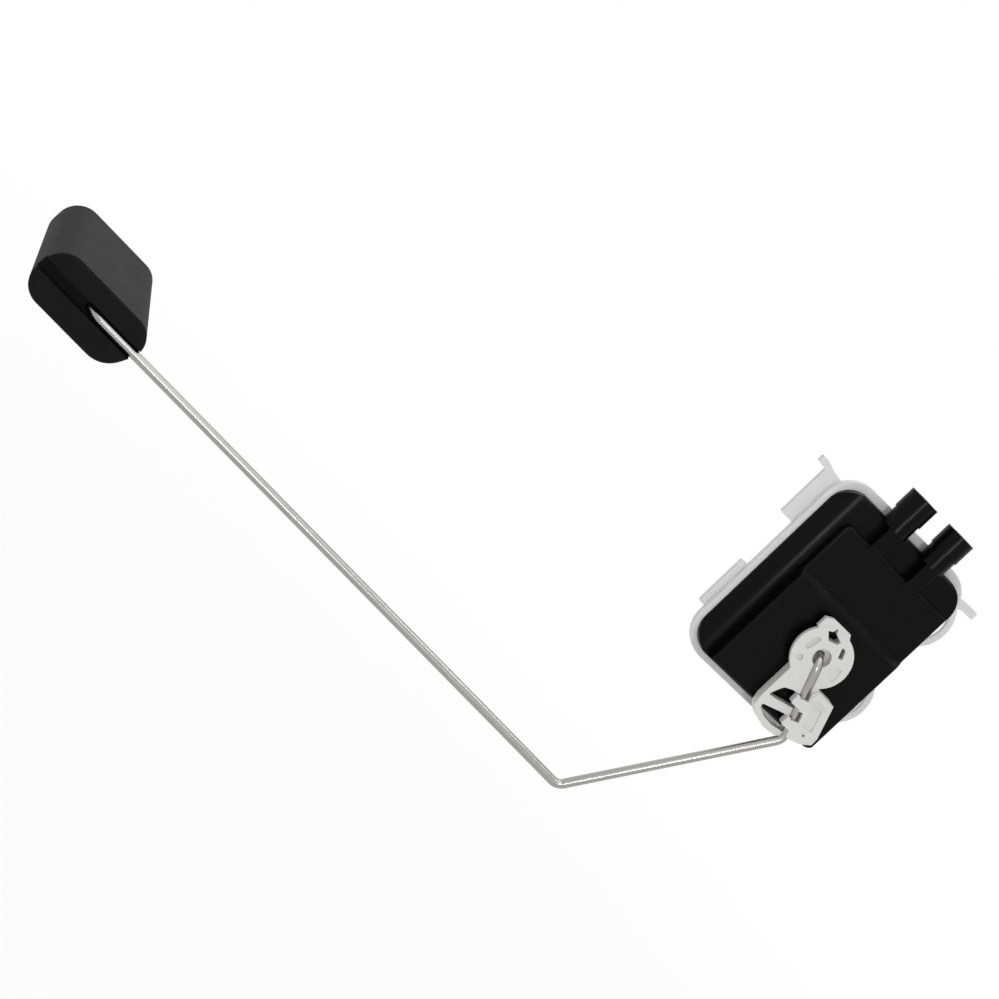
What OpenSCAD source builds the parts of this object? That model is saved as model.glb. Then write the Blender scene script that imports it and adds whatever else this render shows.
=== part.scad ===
// Fuel level sender: a float on a wire arm turns a wiper over a resistor card.
// The origin lies on the carrier's back face, on the arm's pivot axis. +Z runs towards the
// terminals, the front faces -Y and the float lies towards -X. Depths are counted forward
// from the back face, so a depth d is the plane y = -d.

/* [Cover] */
// Width of the cover
cover_w = 44.7; // [43:0.1:48]
// Height of the cover, without its terminal barrels
cover_h = 56.7; // [55:0.1:62]
// Distance from the cover's left edge to the pivot axis
pivot_from_left = 25; // [24:0.5:27]
// Distance from the cover's top to the pivot axis
pivot_from_top = 35.9; // [35:0.1:38]
// Corner radius of the cover
cover_corner_r = 6.8; // [5:0.1:7]
// Wall thickness of the cover
cover_wall = 1.6; // [1.3:0.1:1.8]
// Height of the low shoulder above the flange
shoulder_h = 3.6; // [3.3:0.1:4]
// Radius of the rounded left shoulder
shoulder_r = 7; // [6:0.5:9]
// Height of the straight foot below the rounded shoulder
shoulder_foot = 0.6; // [0.4:0.1:1]
// Height of the upper field above the flange
upper_field_h = 6; // [5.8:0.1:6.6]
// Height of the lower field above the flange
lower_field_h = 8.4; // [8:0.1:9.2]
// Distance from the pivot axis to the fields' left wall
field_reach = 18.4; // [17.5:0.1:19]
// Distance from the fields' top edge to the cover's top
field_margin = 7.6; // [7:0.1:9]
// Height of the ledge's foot above the pivot axis
ledge_z = 10.6; // [10:0.1:12]
// Vertical run of the sloping ledge
ledge_run = 1.8; // [1.2:0.1:2.4]
// Lean of the fields' right wall, in degrees
right_lean_deg = 20; // [10:1:25]
// Radius along the fields' right edge
right_edge_r = 0.9; // [0.5:0.1:1.2]
// Radius along the fields' other edges
field_edge_r = 0.6; // [0.3:0.1:1]
// Inward slope of the cover's lower wall, at the front
bottom_draft = 0.9; // [0.4:0.1:1.2]

/* [Terminals] */
// Distance between the two terminal barrels
terminal_pitch = 13.8; // [13:0.1:15]
// Distance of the right barrel from the pivot axis
right_terminal_x = 5.3; // [4.5:0.05:6]
// Outside radius of a barrel's head
barrel_head_r = 4.35; // [4.2:0.05:4.7]
// Outside radius of a barrel's neck
barrel_neck_r = 4.03; // [3.8:0.01:4.15]
// Height of the barrel necks above the cover
barrel_neck_h = 3.8; // [2.8:0.1:4.5]
// Height of the barrel heads
barrel_head_h = 6.2; // [5:0.1:8]
// Bore radius of a barrel
barrel_bore_r = 2.5; // [2.4:0.05:2.7]
// Bore radius of a terminal socket, for a round pin
socket_r = 2; // [1.8:0.05:2.05]
// Metal thickness of the terminals
terminal_t = 0.45; // [0.3:0.05:0.5]
// Width of a terminal's tail
tail_w = 2; // [1.6:0.1:2.4]
// Width of the ridges below the barrels
ridge_w = 4.2; // [3.6:0.1:5]
// Height of the ridges above the flange
ridge_h = 7.4; // [7:0.1:7.8]
// How far the ridges' lower ends reach below the fields' top edge
ridge_reach = 1.3; // [0.8:0.1:3]

/* [Carrier] */
// Thickness of the carrier's back pad, with its wings and bows
pad_t = 1.6; // [1.2:0.1:2]
// Thickness of the carrier's flange
flange_t = 2; // [1.8:0.1:2.6]
// Width of the flange below the cover
flange_border = 1.9; // [1.2:0.1:2.2]
// Width of the flange above the cover
flange_border_top = 2.3; // [1.4:0.1:2.6]
// Width of the flange to the left of the cover
flange_border_left = 1.6; // [1.2:0.1:2.4]
// Width of the flange to the right of the cover
flange_border_right = 1.6; // [1:0.1:2]
// Reach of the upper guide wing outside the flange
upper_wing_reach = 3.8; // [2:0.1:5]
// Reach of the lower guide wing outside the flange
lower_wing_reach = 1.7; // [0.8:0.1:3]
// Distance from the upper wing's upper edge to the cover's top
upper_wing_drop = 2.1; // [2:0.1:4]
// Height of the upper guide wing
upper_wing_h = 15.8; // [14:0.1:17]
// Distance from the cover's lower edge to the lower wing
lower_wing_rise = 8.2; // [7:0.1:10]
// Height of the lower guide wing
lower_wing_h = 15.1; // [14:0.1:17]
// Width of a spring bow's strip
bow_w = 1.5; // [1.2:0.1:2]
// Outside radius of the spring bows
bow_r = 10; // [9:0.1:12]
// Reach of the spring bows outside the flange
bow_reach = 3.7; // [3:0.1:5.5]
// Distance from the cover's top to the upper spring bow's middle
upper_bow_drop = 11; // [10:0.1:12]
// Distance from the cover's lower edge to the lower spring bow's middle
lower_bow_rise = 16.9; // [15:0.1:19]
// Radius of the stakes that hold the cover to the carrier
stake_r = 1.4; // [1.1:0.1:1.6]

/* [Resistor card] */
// Thickness of the ceramic card
card_t = 0.8; // [0.6:0.1:0.9]
// Thickness of the printed tracks
track_t = 0.1; // [0.08:0.01:0.12]
// Distance between the middles of the comb and the return track
track_pitch = 3.6; // [3.4:0.1:3.8]
// Radial length of a comb segment
comb_len = 3.2; // [2.6:0.1:3.4]
// Number of comb segments
comb_count = 26; // [16:1:30]
// Width of a comb segment
comb_w = 0.6; // [0.4:0.05:0.7]
// Radial width of the resistor band
band_w = 1.8; // [1.2:0.1:2.2]
// Distance from the return track's middle to the solder pads
pad_distance = 2.4; // [1.8:0.1:2.6]
// Radial width of the return track
return_w = 1.6; // [1.2:0.1:1.8]

/* [Arm] */
// Diameter of the arm's wire
wire_dia = 2.5; // [2:0.1:2.6]
// Inside radius of the wire's bends, to its centre line
wire_bend_r = 3.2; // [2.8:0.1:4]
// Angle of the wire on the holder, from straight down
holder_run_deg = 22.5; // [20:0.5:24]
// Length of the wire from the pivot to its bend below the holder
holder_run = 23.5; // [23:0.5:27]
// Length of the short run, from that bend to the elbow
short_run = 58.3; // [45:0.1:75]
// Direction of the short run, from straight down towards the float
short_run_deg = 34.6; // [25:0.1:45]
// Length of the long run, from the elbow to the float
long_run = 167; // [120:0.5:200]
// Rise of the long run towards the float
long_run_deg = 3; // [0:0.1:8]
// Travel of the arm from empty to full, in degrees
swing_deg = 72; // [60:1:80]

/* [Arm holder] */
// Radius of the holder's hub
hub_r = 8.2; // [7.6:0.1:8.6]
// Thickness of the hub's disc
hub_disc_t = 1.4; // [1:0.1:2.4]
// Thickness of the holder
holder_t = 3.6; // [3.2:0.1:4.2]
// Thickness of the holder's web
web_t = 1.8; // [1.4:0.1:1.8]
// Gap between the holder and the cover
hub_gap = 0.4; // [0.3:0.05:0.8]
// Radius of the holder's bearing journal
journal_r = 3.5; // [3.2:0.1:3.8]
// Running clearance of the bearings, on the radius
running_gap = 0.04; // [0.02:0.01:0.08]
// Width of a clip along the wire
clip_w = 2.6; // [2.2:0.1:3.2]
// Thickness of a clip over the wire
clip_t = 0.9; // [0.7:0.05:1.2]

/* [Float] */
// Width of the float's front
float_w = 31.1; // [26:0.1:40]
// Height of the float's front
float_h = 14.8; // [14.6:0.1:20]
// Depth of the float along its pin
float_depth = 63; // [40:1:70]
// How far the float's middle lies below its pin
float_drop = 0.5; // [0:0.05:1]
// How far the float's middle lies to the left of its pin
float_shift = 0.3; // [0:0.05:1]
// Radius of the float's upper left corner
float_upper_left_r = 6.6; // [4:0.1:7]
// Radius of the float's upper right corner
float_upper_right_r = 5.7; // [4:0.1:7]
// Radius of the float's lower left corner
float_lower_left_r = 6; // [4:0.1:7]
// Radius of the float's lower right corner
float_lower_right_r = 7.3; // [4:0.1:7.3]
// How far the lower right corner is set in
float_corner_inset = 1; // [0:0.1:2]
// Narrowing of the float's back, on each side
float_side_taper = 0.4; // [0:0.1:1.5]
// Lowering of the float's back, above and below
float_height_taper = 0.1; // [0:0.1:1]
// Width of the groove across the float's front
groove_w = 3.3; // [2.8:0.1:4]

/* [Hidden] */
$fn = 48;
// How far a cutting shape passes the face that it opens
over = 0.5;
// Clearance between pieces that are pushed together
snug = 0.02;

// Depths of the stack, from the back face forward
flange_d = pad_t + flange_t;
shoulder_d = flange_d + shoulder_h;
upper_d = flange_d + upper_field_h;
lower_d = flange_d + lower_field_h;
ridge_d = flange_d + ridge_h;
holder_back_d = lower_d + hub_gap;
holder_front_d = holder_back_d + holder_t;
web_d = holder_back_d + web_t;
wire_r = wire_dia / 2;
wire_d = web_d + wire_r + 0.05;

// Edges of the cover, from the pivot axis
cover_left = -pivot_from_left;
cover_right = cover_w - pivot_from_left;
cover_bottom = pivot_from_top - cover_h;
cover_top = pivot_from_top;
field_left = -field_reach;
ledge_top = ledge_z + ledge_run;
field_top = cover_top - field_margin;
ridge_end_z = field_top - ridge_reach;
right_step = 0.1;
shoulder_centre_x = cover_left + sqrt(pow(shoulder_r, 2)
    - pow(shoulder_r - shoulder_h + shoulder_foot, 2));

// Edges of the carrier's flange
flange_left = cover_left - flange_border_left;
flange_right = cover_right + flange_border_right;
flange_bottom = cover_bottom - flange_border;
flange_top = cover_top + flange_border_top;
flange_corner_r = cover_corner_r + flange_border;
upper_wing_z = cover_top - upper_wing_drop - upper_wing_h;
lower_wing_z = cover_bottom + lower_wing_rise;
bow_heights = [cover_top - upper_bow_drop, cover_bottom + lower_bow_rise];

// Barrels, sockets and tails
terminal_xs = [right_terminal_x - terminal_pitch, right_terminal_x];
barrel_d = flange_d + barrel_neck_r + 0.15;
barrel_step_z = cover_top + barrel_neck_h;
barrel_top = barrel_step_z + barrel_head_h;
barrel_floor_z = cover_top + 1.1;
socket_out_r = socket_r + terminal_t;
socket_floor_z = barrel_floor_z + 0.2;
socket_top = barrel_top - 0.7;
socket_cut_h = socket_top - socket_floor_z + 2 * over;
tail_back_d = barrel_d - socket_out_r;
tail_slot_gap = 0.2;

// Card and its tracks
card_front_d = flange_d + card_t;
track_front_d = card_front_d + track_t;
card_edge = [-18.2, 4.6, 14.6, field_top + 2.1];
pad_w = 3.2;
pad_top = card_edge[3] - 1.8;
pad_bottom = pad_top - 4.2;
tail_end_z = pad_bottom + 0.4;
tail_knee_z = card_edge[3] + 3;
tail_top_z = socket_floor_z + 0.6;
return_r = pad_bottom - pad_distance;
comb_r = return_r - track_pitch;
band_r = comb_r - comb_len / 2 - band_w / 2;

// Wiper: angles run clockwise from straight up, as seen from the front
wiper_rest_deg = -46;
comb_from_deg = wiper_rest_deg - 3;
comb_to_deg = wiper_rest_deg + swing_deg + 3;
tine_r = [comb_r, return_r];
tine_offset = [-1.5, 1.5];
contact_r = 0.5;
contact_gap = 0.05;
tine_t = 0.25;
tine_d = track_front_d + 1.5;
arm_plate_d = tine_d + tine_t;
tine_end_d = track_front_d + 0.9;
arm_plate_t = 1.35;
arm_plate_w = 6;
arm_plate_setback = 3;
arm_plate_len = comb_r - arm_plate_setback;
rotor_r = 6.2;
rotor_front_d = lower_d - cover_wall - 1.2;
tine_root_setback = 1.4;
tine_root = arm_plate_len - tine_root_setback;
rivet_setbacks = [6.4, 2.8];
rivet_rs = [for (back = rivet_setbacks) arm_plate_len - back];
rivet_r = 0.6;
key_r = 2.9;
key_flat = 2.2;

// Stops: a lug on the rotor meets one post at each end of the travel
lug_rest_deg = 180 - swing_deg / 2;
lug_r = 8.6;
lug_half_w = 1.2;
stop_ring_r = 7.9;
stop_post_r = 0.9;
stop_deg = asin((lug_half_w + stop_post_r + 0.05) / stop_ring_r);

// Bearing of the wire's inner end
pin_bore_r = wire_r + running_gap;
// A bend is thinner than the straights by a hair, and each straight laps into it
bend_thin = 0.01;
bend_lap = 0.1;
pin_boss_r = 3;
pin_boss_d = flange_d + 1.7;
pin_tip_d = flange_d - 0.6;
retainer_t = 0.45;
retainer_r = 3.4;

// Stakes
stake_xs = [cover_left + 5.2, cover_right - 5.2];
stake_zs = [cover_bottom + 4.2, cover_top - 3.6];
stake_head_r = stake_r + 0.85;
stake_recess = 1.1;

// Shallow pockets between the ribs of the carrier's back
pocket_rows = 4;
pocket_depth = 0.9;
pocket_margin = 4.2;

// Wire arm corners, in the plane of the wire
function down(deg) = [sin(deg), 0, -cos(deg)];
pivot_pt = [0, -wire_d, 0];
holder_bend = pivot_pt + holder_run * down(holder_run_deg);
elbow = holder_bend + short_run * down(-short_run_deg);
float_pt = elbow + long_run * [-cos(long_run_deg), 0, sin(long_run_deg)];

// Inside bends at the pivot and at the float, and the pin's end behind the float
pin_bend_r = 3.6;
pin_past_float = 1.8;

// Levels and places on the holder's arm
clip_front_d = wire_d + wire_r + clip_t;
clip_tops = [-10.6, -16.2];
pocket_r = 2.5;

// Float
float_front_d = wire_d + wire_r + 0.25;
float_back_d = float_front_d - float_depth;

// Flat outlines and directions of extrusion. slab runs from depth to depth, tower along Z
// from an outline in x and d, and beam along X from an outline in z and d.
module slab(d0, d1) {
    translate([0, -d0, 0]) rotate([90, 0, 0]) linear_extrude(d1 - d0) children();
}

module tower(z0, z1) {
    translate([0, 0, z0]) mirror([0, 1, 0]) linear_extrude(z1 - z0) children();
}

module beam(x0, x1) {
    translate([x0, 0, 0]) rotate(a = 180, v = [1, 0, 1]) linear_extrude(x1 - x0) children();
}

module rod_y(r, d0, d1, at = [0, 0]) {
    translate([at[0], -d0, at[1]]) rotate([90, 0, 0]) cylinder(r = r, h = d1 - d0);
}

module rounded_rect(x0, z0, x1, z1, r) {
    translate([x0 + r, z0]) square([x1 - x0 - 2 * r, z1 - z0]);
    translate([x0, z0 + r]) square([x1 - x0, z1 - z0 - 2 * r]);
    for (x = [x0 + r, x1 - r], z = [z0 + r, z1 - r]) translate([x, z]) circle(r);
}

// A profile from depth 0 to top, with its two front corners rounded
module crowned(x0, x1, top, r0, r1) {
    r = max(r0, r1);
    translate([x0, 0]) square([x1 - x0, top - r]);
    translate([x0 + r0, 0]) square([x1 - x0 - r0 - r1, top]);
    translate([x0, 0]) square([r0 * 2, top - r0]);
    translate([x1 - r1 * 2, 0]) square([r1 * 2, top - r1]);
    translate([x0 + r0, top - r0]) circle(r0);
    translate([x1 - r1, top - r1]) circle(r1);
}

// Corners rounded by arcs of radius r: from p round q to s
function unit(v) = v / norm(v);
function corner_arc(p, q, s, r, steps = 5) =
    let(a = unit(p - q), b = unit(s - q), half = acos(a * b) / 2,
        centre = q + unit(a + b) * r / sin(half),
        from = q + a * r / tan(half) - centre, to = q + b * r / tan(half) - centre,
        turn = 2 * (90 - half), side = sign(from[0] * to[1] - from[1] * to[0]))
    [for (i = [0:steps]) let(t = side * turn * i / steps)
        centre + [from[0] * cos(t) - from[1] * sin(t), from[0] * sin(t) + from[1] * cos(t)]];

module soft_polygon(points, r) {
    n = len(points);
    polygon([for (i = [0:n - 1]) each corner_arc(points[(i + n - 1) % n], points[i],
        points[(i + 1) % n], r)]);
}

// Part of a ring between two angles, clockwise from straight up
function on_ring(r, deg) = [r * sin(deg), r * cos(deg)];

module ring_part(r_in, r_out, from, to) {
    steps = ceil((to - from) / 4);
    angles = [for (i = [0:steps]) from + (to - from) * i / steps];
    polygon(concat([for (a = angles) on_ring(r_out, a)],
        [for (i = [steps:-1:0]) on_ring(r_in, angles[i])]));
}

// Wire pieces: a straight rod between two points, and a bend at a corner
function across(u, v) = unit(cross(u, v));
function tangent_len(u, v, r) = r * tan(acos(u * v) / 2);

module rod(a, b, r) {
    w = unit(b - a);
    u = abs(w[1]) > 0.9 ? across([1, 0, 0], w) : across([0, 1, 0], w);
    v = cross(w, u);
    multmatrix([[u[0], v[0], w[0], a[0]], [u[1], v[1], w[1], a[1]], [u[2], v[2], w[2], a[2]]])
        cylinder(r = r, h = norm(b - a));
}

module bend(corner, u, v, bend_r, r) {
    n = across(u, v);
    m = cross(n, u);
    c = corner - tangent_len(u, v, bend_r) * u + bend_r * m;
    multmatrix([[-m[0], u[0], n[0], c[0]], [-m[1], u[1], n[1], c[1]], [-m[2], u[2], n[2], c[2]]])
        rotate_extrude(angle = acos(u * v)) translate([bend_r, 0]) circle(r - bend_thin);
}

// The carrier: a back pad with guide wings, hooks and spring bows, and a flange in front
module wing(reach, z, h) {
    soft_polygon([[flange_left + 4, z], [flange_left - reach, z], [flange_left - reach, z + h],
        [flange_left + 4, z + h]], 0.5);
}

module spring_bow(z) {
    centre_x = flange_right + bow_reach - bow_r;
    translate([centre_x, z]) difference() {
        circle(bow_r);
        circle(bow_r - bow_w);
        translate([-2 * bow_r, -2 * bow_r]) square([2 * bow_r + flange_right - centre_x - 2,
            4 * bow_r]);
    }
}

module left_hook() {
    x = flange_left - upper_wing_reach;
    z = upper_wing_z + upper_wing_h;
    polygon([[x - 2.9, z + 1.7], [x - 1, z + 1.7], [x + 1.8, z + 0.8], [x + 5, z + 0.3],
        [x + 5, z - 2], [x, z - 2], [x, z - 0.5], [x - 2.9, z - 0.1]]);
}

module right_hook() {
    x = flange_right + 1.6;
    z = bow_heights[0] + 7.7;
    polygon([[x - 5, z - 2.6], [x + 0.4, z - 0.1], [x + 4.1, z - 0.1], [x + 4.1, z + 2.1],
        [x - 0.2, z + 2.1], [x - 5, z + 1.4]]);
}

module carrier() color("gainsboro") difference() {
    union() {
        slab(0, pad_t) {
            rounded_rect(flange_left + 0.8, flange_bottom + 0.8, flange_right - 0.8,
                flange_top - 0.8, flange_corner_r - 0.8);
            wing(upper_wing_reach, upper_wing_z, upper_wing_h);
            wing(lower_wing_reach, lower_wing_z, lower_wing_h);
            for (z = bow_heights) spring_bow(z);
            left_hook();
            right_hook();
        }
        slab(pad_t, flange_d) rounded_rect(flange_left, flange_bottom, flange_right, flange_top,
            flange_corner_r);
        rod_y(pin_boss_r, flange_d, pin_boss_d);
        card_rails();
    }
    rod_y(pin_bore_r, pin_tip_d - 0.4, pin_boss_d + over);
    for (x = stake_xs, z = stake_zs) {
        rod_y(stake_r + snug, -over, flange_d + over, [x, z]);
        rod_y(stake_head_r + 0.15, -over, stake_recess, [x, z]);
    }
    back_pockets();
}

// Low rails round the card, and the shallow pockets between the ribs of the back
module card_rails() {
    e = card_edge;
    slab(flange_d, card_front_d) {
        translate([e[0] - 1.3, e[1] - 1.3]) square([1.2, 8]);
        translate([e[2] + 0.1, e[1] - 1.3]) square([1.2, 8]);
        translate([e[0] - 1.3, e[1] - 1.3]) square([6, 1.2]);
        translate([e[2] - 4.7, e[1] - 1.3]) square([6, 1.2]);
        translate([-2, e[3] + 0.1]) square([5, 1.2]);
    }
}

module back_pockets() {
    left = flange_left + 4;
    right = flange_right - 4;
    rib = 1.6;
    mid = (left + right) / 2;
    bottom = stake_zs[0] + pocket_margin;
    row_h = (stake_zs[1] - pocket_margin - bottom) / pocket_rows;
    for (i = [0:pocket_rows - 1], side = [0, 1]) {
        x0 = side == 0 ? left : mid + rib / 2;
        x1 = side == 0 ? mid - rib / 2 : right;
        z = bottom + i * row_h;
        slab(-over, pocket_depth) rounded_rect(x0, z + rib / 2, x1, z + row_h - rib / 2, 1);
    }
}

// The cover: a low base with a rounded shoulder, two raised fields, ridges and barrels
module cover_outline(inset) {
    rounded_rect(cover_left + inset, cover_bottom + inset, cover_right - inset,
        cover_top - inset, cover_corner_r - inset);
}

module shoulder_profile(inset) {
    centre_d = shoulder_d - shoulder_r;
    translate([shoulder_centre_x, 0]) square([cover_right - shoulder_centre_x,
        shoulder_d - inset]);
    intersection() {
        translate([shoulder_centre_x, centre_d]) circle(shoulder_r - inset, $fn = 96);
        translate([cover_left - shoulder_r, 0]) square([cover_w, shoulder_d]);
    }
}

module cover_base() intersection() {
    slab(flange_d, shoulder_d) cover_outline(0);
    tower(cover_bottom, cover_top) shoulder_profile(0);
    beam(cover_left, cover_right) crowned(cover_bottom, cover_top, shoulder_d, 1, 1.4);
}

function lean_x(d) = cover_right - right_step - (d - shoulder_d) * tan(right_lean_deg);

// The fields' profile: a straight left wall, and a right wall that leans in
module field_profile(top, inset = 0) {
    foot = [lean_x(shoulder_d) - inset, shoulder_d];
    upper_right = [lean_x(top) - inset, top];
    upper_left = [field_left, top];
    polygon(concat([[field_left, 0], [foot[0], 0], foot],
        corner_arc(foot, upper_right, upper_left, right_edge_r),
        corner_arc(upper_right, upper_left, [field_left, 0], field_edge_r)));
}

module lower_field() intersection() {
    slab(flange_d, lower_d) cover_outline(0);
    tower(cover_bottom, ledge_top) field_profile(lower_d);
    beam(field_left, cover_right) polygon([[cover_bottom, 0], [cover_bottom, flange_d + 1],
        [cover_bottom + bottom_draft, lower_d - 0.5], [cover_bottom + bottom_draft + 0.5, lower_d],
        [ledge_z, lower_d], [ledge_top, upper_d], [ledge_top, 0]]);
}

module upper_field() intersection() {
    slab(flange_d, upper_d) rounded_rect(field_left, cover_bottom, cover_right + 5, field_top, 1.6);
    slab(flange_d, upper_d) cover_outline(0);
    tower(ledge_z - 1, field_top) field_profile(upper_d, right_step);
    beam(field_left, cover_right) crowned(ledge_z - 5, field_top, upper_d, field_edge_r,
        field_edge_r);
}

module ridge(x) intersection() {
    tower(ridge_end_z, barrel_step_z) crowned(x - ridge_w / 2, x + ridge_w / 2, ridge_d,
        field_edge_r, field_edge_r);
    beam(x - ridge_w, x + ridge_w) polygon([[ridge_end_z, flange_d + 2], [ridge_end_z, upper_d],
        [ridge_end_z + 2.2, ridge_d], [barrel_step_z, ridge_d], [barrel_step_z, flange_d + 2]]);
}

module barrel(x) {
    translate([x, -barrel_d, cover_top - 1]) cylinder(r = barrel_neck_r, h = barrel_neck_h + 1);
    translate([x, -barrel_d, barrel_step_z]) cylinder(r = barrel_head_r, h = barrel_head_h);
}

module barrel_bore(x) {
    translate([x, -barrel_d, barrel_floor_z]) cylinder(r = barrel_bore_r,
        h = barrel_top - barrel_floor_z + over);
    translate([x, -barrel_d, barrel_top - 0.6]) cylinder(r1 = barrel_bore_r,
        r2 = barrel_bore_r + 0.6 + over, h = 0.6 + over);
    tower(tail_knee_z - 1, tail_top_z + 0.1) translate([x - tail_w / 2 - tail_slot_gap,
        tail_back_d - tail_slot_gap]) square([tail_w + 2 * tail_slot_gap,
        terminal_t + 2 * tail_slot_gap]);
}

module cover_cavity() {
    w = cover_wall;
    intersection() {
        slab(flange_d - over, shoulder_d - w) cover_outline(w);
        tower(cover_bottom, cover_top) shoulder_profile(w);
    }
    slab(flange_d - over, upper_d - w) rounded_rect(field_left + w, cover_bottom + w + 3,
        lean_x(upper_d) - w, field_top - w, 1.5);
    slab(flange_d - over, lower_d - w) rounded_rect(field_left + w, cover_bottom + w
        + bottom_draft, lean_x(lower_d) - w, ledge_z - 0.6, 1.5);
}

module cover() color("#1b1b1c") {
    difference() {
        union() {
            cover_base();
            lower_field();
            upper_field();
            for (x = terminal_xs) {
                ridge(x);
                barrel(x);
            }
        }
        difference() {
            cover_cavity();
            rod_y(journal_r + 2, rotor_front_d + 0.2, lower_d);
            for (a = [lug_rest_deg - stop_deg, lug_rest_deg + swing_deg + stop_deg])
                rod_y(stop_post_r, rotor_front_d - 1.3, lower_d, on_ring(stop_ring_r, a));
            for (x = stake_xs, z = stake_zs) rod_y(stake_r + 1, flange_d + 1, shoulder_d, [x, z]);
        }
        rod_y(journal_r + running_gap, rotor_front_d, lower_d + over);
        for (x = terminal_xs) barrel_bore(x);
    }
    for (x = stake_xs, z = stake_zs) {
        rod_y(stake_r, stake_recess - 0.3, flange_d + 1.2, [x, z]);
        rod_y(stake_head_r, 0.2, stake_recess - 0.1, [x, z]);
    }
}

// A terminal: a round socket in the barrel, with a flat tail down to the card's pad
module terminal(x) color("goldenrod") {
    translate([x, -barrel_d, 0]) difference() {
        translate([0, 0, socket_floor_z]) cylinder(r = socket_out_r, h = socket_top
            - socket_floor_z);
        translate([0, 0, socket_floor_z - over]) cylinder(r = socket_r, h = socket_cut_h);
    }
    beam(x - tail_w / 2, x + tail_w / 2) polygon([
        [tail_top_z, tail_back_d + 0.1], [tail_top_z, tail_back_d + terminal_t],
        [tail_knee_z, tail_back_d + terminal_t], [card_edge[3], track_front_d + terminal_t],
        [tail_end_z, track_front_d + terminal_t], [tail_end_z, track_front_d],
        [card_edge[3] + 0.2, track_front_d], [tail_knee_z + 0.2, tail_back_d]]);
}

module terminal_left() terminal(terminal_xs[0]);

module terminal_right() terminal(terminal_xs[1]);

// The card and what is printed on it
module resistor_card() color("whitesmoke") slab(flange_d, card_front_d) {
    e = card_edge;
    polygon([[e[0], e[1]], [e[2], e[1]], [e[2], e[3] - 3], [e[2] - 3, e[3]], [e[0] + 1.5, e[3]],
        [e[0], e[3] - 1.5]]);
}

module resistor_track() color("#2a2a2a") slab(card_front_d, track_front_d) {
    ring_part(band_r - band_w / 2, band_r + band_w / 2, comb_from_deg, comb_to_deg);
}

module contact_comb() color("silver") slab(card_front_d, track_front_d) {
    step = (comb_to_deg - comb_from_deg - 2) / (comb_count - 1);
    for (i = [0:comb_count - 1]) rotate(-(comb_from_deg + 1 + i * step))
        translate([-comb_w / 2, comb_r - comb_len / 2 + snug]) square([comb_w, comb_len - 2 * snug]);
}

module return_track() color("silver") slab(card_front_d, track_front_d) {
    ring_part(return_r - return_w / 2, return_r + return_w / 2, comb_from_deg, comb_to_deg);
}

module card_pads() color("silver") slab(card_front_d, track_front_d) {
    for (x = terminal_xs) translate([x - pad_w / 2, pad_bottom]) square([pad_w, pad_top
        - pad_bottom]);
}

module solder_joints() color("lightgray") {
    d = track_front_d + terminal_t;
    for (x = terminal_xs) intersection() {
        rod_y(1.5, d, d + 0.7, [x, pad_bottom + 2.2]);
        translate([x, -(d - 1.4), pad_bottom + 2.2]) sphere(r = 2);
    }
}

// The arm holder: a hub and an arm with windows, and a block with two clips over the wire
hub_tab = [[-7, 5], [-7, 8.1], [-5, 9.2], [0.9, 9.2], [2.1, 7.6], [1.6, 5]];
arm_outline = [[-4, -4], [-4, -17.8], [-3.4, -20.2], [-1.2, -21.9], [2.4, -22.8], [6.4, -22.4],
    [8.6, -20.6], [11.7, -19.6], [12.9, -18.9], [14.6, -17.6], [14.5, -15.4], [11.1, -6.6],
    [5.8, -6.4], [4.6, -4]];
upper_window = [[4, -10.2], [0.9, -10.8], [-1.2, -11.8], [-2, -13.4], [-2.9, -15.8],
    [-0.2, -15.4], [4.7, -14.1]];
lower_window = [[-2.2, -18.6], [3.7, -16.7], [6.6, -16.3], [7.2, -20.4], [3.8, -21], [0.6, -20.7],
    [-1.6, -19.8]];
block_outline = [[4.9, -7.6], [5.8, -6.4], [11.1, -6.6], [14.5, -15.4], [14.6, -17.6],
    [12.9, -18.9], [11.7, -19.6], [8.6, -20.6], [7.9, -20], [4.2, -10.2]];
block_lip = [[5.2, -8.9], [5.3, -7.8], [6, -6.8], [10.8, -7], [11.1, -7.8], [10.6, -8.5],
    [7.2, -8.2], [5.8, -9.5]];
block_panel = [[7.2, -9.8], [9.9, -9.4], [12.2, -15.4], [9.2, -15.8]];
block_hole = [11.2, -17.2];
hub_window = [[-2.7, 8.3], [-1.9, 6.9], [0.5, 6.1], [0.2, 5.1], [-2.2, 4.3], [-4.2, 6.1],
    [-3.1, 6.7]];
side_window = [[1.8, 5.5], [3.1, 5.4], [4.2, 3.2], [3, 2.7]];

module arm_hub() {
    disc_back = holder_front_d - hub_disc_t;
    slab(disc_back, holder_front_d) circle(hub_r, $fn = 96);
    slab(holder_back_d, disc_back) circle(hub_r - 1.4, $fn = 96);
    slab(disc_back - 0.6, holder_front_d - 0.3) soft_polygon(hub_tab, 0.3);
}

module arm_web() slab(holder_back_d, holder_front_d) difference() {
    soft_polygon(arm_outline, 0.4);
    soft_polygon(upper_window, 0.35);
    soft_polygon(lower_window, 0.35);
}

module clip_block() {
    slab(holder_back_d, clip_front_d) soft_polygon(block_outline, 0.4);
    slab(clip_front_d, clip_front_d + 0.5) soft_polygon(block_lip, 0.35);
}

module clips() {
    for (z = clip_tops) translate([-z * tan(holder_run_deg), 0, 0])
        slab(wire_d - 0.6, clip_front_d) rounded_rect(-wire_r - clip_t, z - clip_w, 2.2, z, 0.4);
}

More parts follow.
